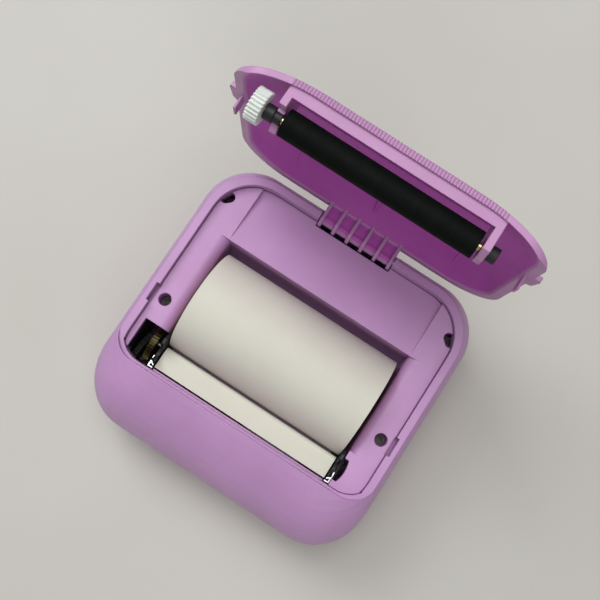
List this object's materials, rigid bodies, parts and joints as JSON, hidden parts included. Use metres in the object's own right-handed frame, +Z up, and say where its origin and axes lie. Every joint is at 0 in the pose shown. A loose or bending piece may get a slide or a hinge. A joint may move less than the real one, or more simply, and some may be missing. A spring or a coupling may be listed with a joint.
{
  "type": "photo printer",
  "caption": "Compact pillow-shaped photo printer lying open, its hinged cover carrying the platen roller over the paper roll and print head.",
  "frame": {"origin": "centre of the flat underside of the case, on the surface it stands on", "axes": "+X to the right seen from the nose, +Y from the nose to the hinge, +Z up"},
  "size_m": [0.088, 0.0948, 0.0921],
  "materials": {
    "case_plastic": "fine matt lilac moulding",
    "cover_plastic": "fine matt lilac moulding",
    "black_plastic": "matt black moulding",
    "white_plastic": "matt off-white moulding",
    "steel": "bright steel",
    "motor_steel": "satin steel can",
    "dark_steel": "blackened steel",
    "bronze": "dark sintered bronze",
    "aluminium": "satin aluminium",
    "brass": "satin brass",
    "ceramic": "dark glazed ceramic",
    "ribbon": "dark film",
    "board": "green solder mask",
    "battery_wrap": "blue film wrap",
    "lens": "clear white lens",
    "paper": "smooth coated paper",
    "card": "grey-brown card",
    "roller_rubber": "smooth dark rubber"
  },
  "bodies": {
    "case": {"outer_case": "case_plastic", "inner_frame": "case_plastic", "frame_screws": "dark_steel", "mechanism_frame": "black_plastic", "gear_cover": "black_plastic", "head_ribbon_cable": "ribbon", "bushing_clips": "steel", "stepper_motor": "motor_steel", "gear_axles": "steel", "circuit_board": "board", "button_board": "board", "battery": "battery_wrap", "usb_socket": "steel", "status_light": "lens", "hinge_pin": "steel", "head_springs": "steel"},
    "cover": {"cover": "cover_plastic", "roller_bushings": "black_plastic"},
    "platen": {"platen_roller": "roller_rubber", "platen_shaft": "steel", "platen_gear": "white_plastic"},
    "drive": {"drive_gear": "bronze"},
    "reduction": {"reduction_gear": "black_plastic"},
    "motor_rotor": {"motor_pinion": "brass"},
    "roll": {"paper_roll": "paper", "roll_core": "card"},
    "button": {"power_button": "case_plastic"},
    "head": {"print_head": "ceramic", "heat_sink": "aluminium", "paper_strip": "paper"}
  },
  "joints": [
    {"name": "cover_hinge", "type": "hinge", "parent": "case", "child": "cover", "pos_m": [0, 0.0392, 0.0292], "axis": [1, 0, 0], "range_deg": [0, 90]},
    {"name": "platen_spin", "type": "hinge", "parent": "cover", "child": "platen", "pos_m": [0, 0.0398, 0.0868], "axis": [1, 0, 0], "continuous": true},
    {"name": "drive_gear_spin", "type": "hinge", "parent": "case", "child": "drive", "pos_m": [-0.0327, -0.0164, 0.02064], "axis": [1, 0, 0], "continuous": true},
    {"name": "reduction_gear_spin", "type": "hinge", "parent": "case", "child": "reduction", "pos_m": [-0.034, -0.02273, 0.01546], "axis": [1, 0, 0], "continuous": true},
    {"name": "motor_spin", "type": "hinge", "parent": "case", "child": "motor_rotor", "pos_m": [-0.034, -0.0323, 0.014], "axis": [1, 0, 0], "continuous": true},
    {"name": "paper_roll_spin", "type": "hinge", "parent": "case", "child": "roll", "pos_m": [0, 0.00075, 0.02265], "axis": [1, 0, 0], "continuous": true},
    {"name": "power_button_press", "type": "slide", "parent": "case", "child": "button", "axis": [-1, 0, 0], "range_m": [0, 0.0004], "stiffness_N_per_m": 600},
    {"name": "print_head_press", "type": "slide", "parent": "case", "child": "head", "axis": [0, 0, -1], "range_m": [0, 0.0005], "stiffness_N_per_m": 4000, "deforming": ["head_springs"]}
  ],
  "couplings": [
    {"joint": "drive_gear_spin", "follows": "platen_spin", "ratio": -0.72222},
    {"joint": "reduction_gear_spin", "follows": "platen_spin", "ratio": 1.4444},
    {"joint": "motor_spin", "follows": "platen_spin", "ratio": -6.2593}
  ]
}
